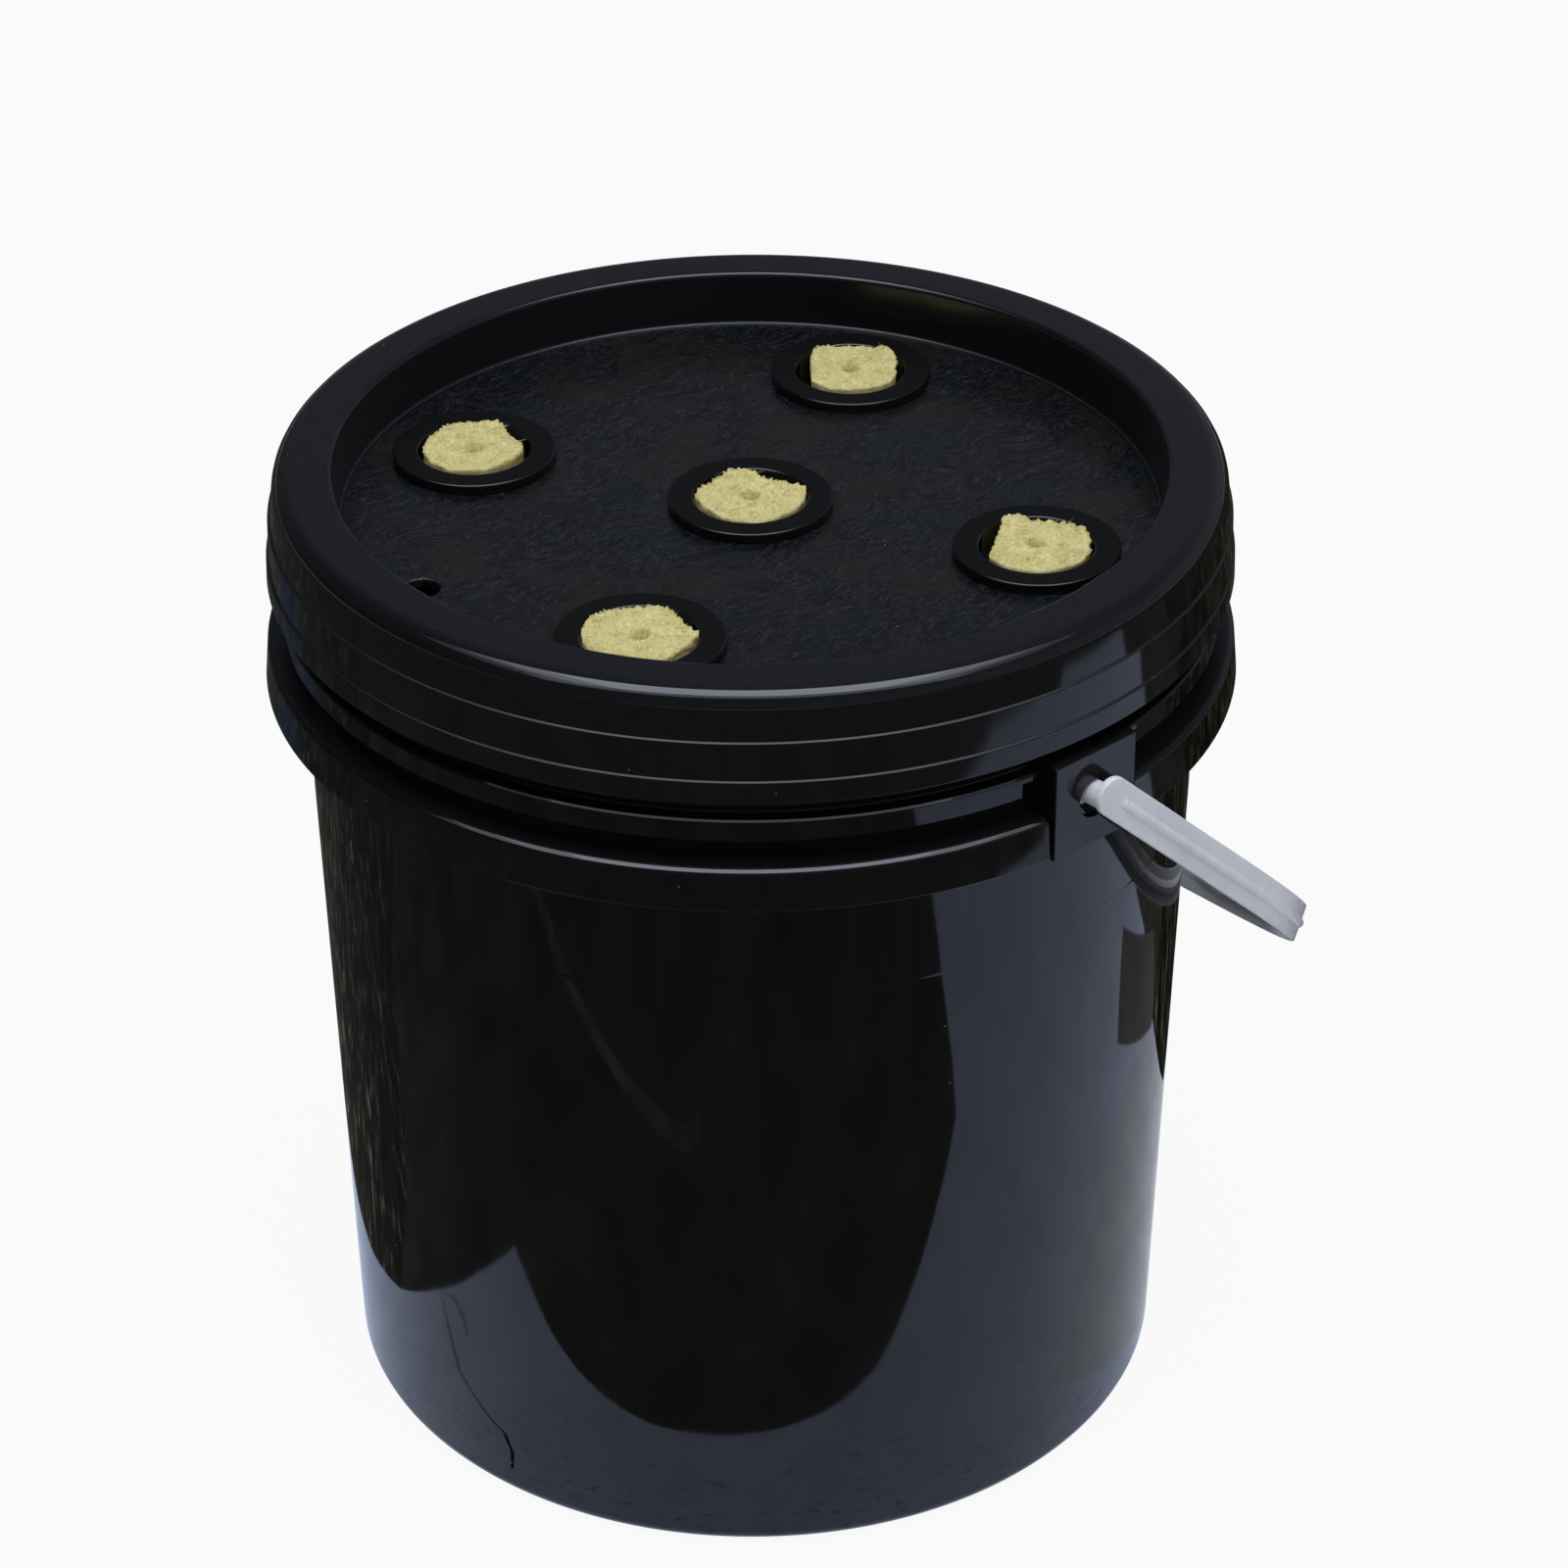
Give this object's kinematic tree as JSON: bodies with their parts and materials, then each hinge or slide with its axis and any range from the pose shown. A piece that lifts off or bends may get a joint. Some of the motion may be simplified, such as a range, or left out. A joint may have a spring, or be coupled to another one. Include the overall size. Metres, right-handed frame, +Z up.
{
  "type": "deep water culture system",
  "caption": "Round black pail with a snap lid, net pots with mineral wool plugs in the sunk lid, an air line hole, a swinging bail handle and an air stone inside.",
  "frame": {"origin": "centre of the pail's flat underside", "axes": "+Z up along the pail's axis; the handle's pivot axis lies along X and the handle hangs towards +Y"},
  "size_m": [0.2848, 0.2724, 0.2875],
  "materials": {
    "black_polypropylene": "glossy black moulded polypropylene",
    "white_polyethylene": "satin white moulded polyethylene",
    "black_pot_plastic": "satin black moulded plastic",
    "yellow_mineral_wool": "rough fibrous mineral wool",
    "grey_foam": "matt closed-cell foam",
    "blue_grey_stone": "matt porous grit",
    "dark_dish_plastic": "satin dark plastic",
    "clear_barb_plastic": "smooth pale plastic"
  },
  "bodies": {
    "pail": {"bucket": "black_polypropylene", "air_stone_dish": "dark_dish_plastic", "air_stone_disc": "blue_grey_stone", "air_stone_barb": "clear_barb_plastic"},
    "lid": {"lid": "black_polypropylene", "lid_gasket": "grey_foam"},
    "bail": {"bail_handle": "white_polyethylene"},
    "pot_1": {"net_pot_1": "black_pot_plastic"},
    "plug_1": {"rockwool_plug_1": "yellow_mineral_wool"},
    "pot_2": {"net_pot_2": "black_pot_plastic"},
    "plug_2": {"rockwool_plug_2": "yellow_mineral_wool"},
    "pot_3": {"net_pot_3": "black_pot_plastic"},
    "plug_3": {"rockwool_plug_3": "yellow_mineral_wool"},
    "pot_4": {"net_pot_4": "black_pot_plastic"},
    "plug_4": {"rockwool_plug_4": "yellow_mineral_wool"},
    "pot_5": {"net_pot_5": "black_pot_plastic"},
    "plug_5": {"rockwool_plug_5": "yellow_mineral_wool"}
  },
  "joints": [
    {"name": "bail_swing", "type": "hinge", "parent": "pail", "child": "bail", "pos_m": [0, 0, 0.2393], "axis": [1, 0, 0], "range_deg": [0, 264]},
    {"name": "lid_lift", "type": "slide", "parent": "pail", "child": "lid", "axis": [0, 0, 1], "range_m": [0, 0.08]},
    {"name": "pot_lift_1", "type": "slide", "parent": "lid", "child": "pot_1", "axis": [0, 0, 1], "range_m": [0, 0.05]},
    {"name": "pot_lift_2", "type": "slide", "parent": "lid", "child": "pot_2", "axis": [0, 0, 1], "range_m": [0, 0.05]},
    {"name": "pot_lift_3", "type": "slide", "parent": "lid", "child": "pot_3", "axis": [0, 0, 1], "range_m": [0, 0.05]},
    {"name": "pot_lift_4", "type": "slide", "parent": "lid", "child": "pot_4", "axis": [0, 0, 1], "range_m": [0, 0.05]},
    {"name": "pot_lift_5", "type": "slide", "parent": "lid", "child": "pot_5", "axis": [0, 0, 1], "range_m": [0, 0.05]},
    {"name": "plug_lift_1", "type": "slide", "parent": "pot_1", "child": "plug_1", "axis": [0, 0, 1], "range_m": [0, 0.03]},
    {"name": "plug_lift_2", "type": "slide", "parent": "pot_2", "child": "plug_2", "axis": [0, 0, 1], "range_m": [0, 0.03]},
    {"name": "plug_lift_3", "type": "slide", "parent": "pot_3", "child": "plug_3", "axis": [0, 0, 1], "range_m": [0, 0.03]},
    {"name": "plug_lift_4", "type": "slide", "parent": "pot_4", "child": "plug_4", "axis": [0, 0, 1], "range_m": [0, 0.03]},
    {"name": "plug_lift_5", "type": "slide", "parent": "pot_5", "child": "plug_5", "axis": [0, 0, 1], "range_m": [0, 0.03]}
  ]
}
